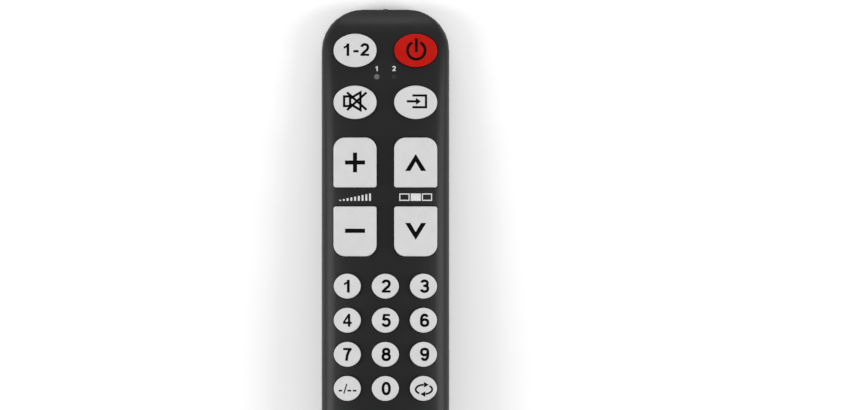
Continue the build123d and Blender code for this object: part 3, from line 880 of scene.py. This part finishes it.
def seen_directly(tree):
    """1 for what the camera sees straight, in a reflection or through glass, otherwise 0."""
    path = tree.nodes.new("ShaderNodeLightPath")
    seen = path.outputs["Is Camera Ray"]
    for name in ("Is Glossy Ray", "Is Transmission Ray"):
        either = tree.nodes.new("ShaderNodeMath")
        either.operation = "MAXIMUM"
        tree.links.new(seen, either.inputs[0])
        tree.links.new(path.outputs[name], either.inputs[1])
        seen = either.outputs[0]
    return seen


def make_floor():
    """A plain pale floor, white to the camera and in reflections, which keeps the shadow."""
    work = bmesh.new()
    bmesh.ops.create_grid(work, x_segments=1, y_segments=1, size=floor_half)
    floor = new_object("floor", work)
    floor.location.z = -floor_drop
    made = Shader("floor")
    white = made.add("ShaderNodeMix", data_type="RGBA")
    made.join(seen_directly(made.tree), white.inputs["Factor"])
    made.join((floor_grey, floor_grey, floor_grey, 1), white.inputs[6])
    made.join((floor_white, floor_white, floor_white, 1), white.inputs[7])
    away = made.add("ShaderNodeVectorMath", {0: made.place}, operation="LENGTH").outputs["Value"]
    reach = made.spread(away, near_glow, far_glow, near_reach, far_reach)
    glow = made.add("ShaderNodeMath", {0: seen_directly(made.tree), 1: reach}, operation="MULTIPLY")
    made.set(
        Base_Color=white.outputs[2], Roughness=0.8, Specular_IOR_Level=0.0,
        Emission_Color=(1, 1, 1, 1), Emission_Strength=glow.outputs[0],
    )
    put_on(floor, made.material)


def area_light(name, local_place, size, watts):
    """A soft rectangular lamp at a place in the housing's directions, facing the remote."""
    place = to_frame(local_place)
    light = bpy.data.lights.new(name, "AREA")
    light.shape = "RECTANGLE"
    light.size, light.size_y = size
    light.energy = watts
    lamp = bpy.data.objects.new(name, light)
    bpy.context.scene.collection.objects.link(lamp)
    lamp.location = place
    lamp.rotation_mode = "QUATERNION"
    lamp.rotation_quaternion = (-place).to_track_quat("-Z", "Y")


def light_world(strength):
    """Even light from all round, with white behind what the camera sees."""
    world = bpy.data.worlds.new("world")
    world.use_nodes = True
    tree = world.node_tree
    tree.nodes.clear()
    even = tree.nodes.new("ShaderNodeBackground")
    even.inputs["Color"].default_value = (1, 1, 1, 1)
    even.inputs["Strength"].default_value = strength
    white = tree.nodes.new("ShaderNodeBackground")
    white.inputs["Color"].default_value = (1, 1, 1, 1)
    mix = tree.nodes.new("ShaderNodeMixShader")
    output = tree.nodes.new("ShaderNodeOutputWorld")
    tree.links.new(seen_directly(tree), mix.inputs[0])
    tree.links.new(even.outputs[0], mix.inputs[1])
    tree.links.new(white.outputs[0], mix.inputs[2])
    tree.links.new(mix.outputs[0], output.inputs[0])
    bpy.context.scene.world = world


def make_camera():
    """Square to the key face, with the remote where the photograph has it."""
    per_pixel = body_width / photo_body_width
    aim = (
        (image_width / 2 - photo_centre_x) * per_pixel,
        head - (image_height / 2 - photo_head_y) * per_pixel,
        widest_level,
    )
    camera_data = bpy.data.cameras.new("camera")
    camera_data.sensor_width = sensor_width
    camera_data.lens = sensor_width * camera_distance / (image_width * per_pixel)
    camera = bpy.data.objects.new("camera", camera_data)
    bpy.context.scene.collection.objects.link(camera)
    camera.matrix_world = Matrix.Translation(to_frame(aim) + out * camera_distance) @ housing.to_4x4()
    camera_data.clip_start, camera_data.clip_end = 0.01, 100
    bpy.context.scene.camera = camera


make_floor()
light_world(world_strength)
for name, side in (("left_softbox", -1), ("right_softbox", 1)):
    lamp_place = (side * side_lamp_place[0], *side_lamp_place[1:])
    area_light(name, lamp_place, side_lamp_size, side_lamp_watts)
area_light("head_softbox", head_lamp_place, head_lamp_size, head_lamp_watts)
make_camera()
bpy.context.scene.view_settings.view_transform = "Standard"
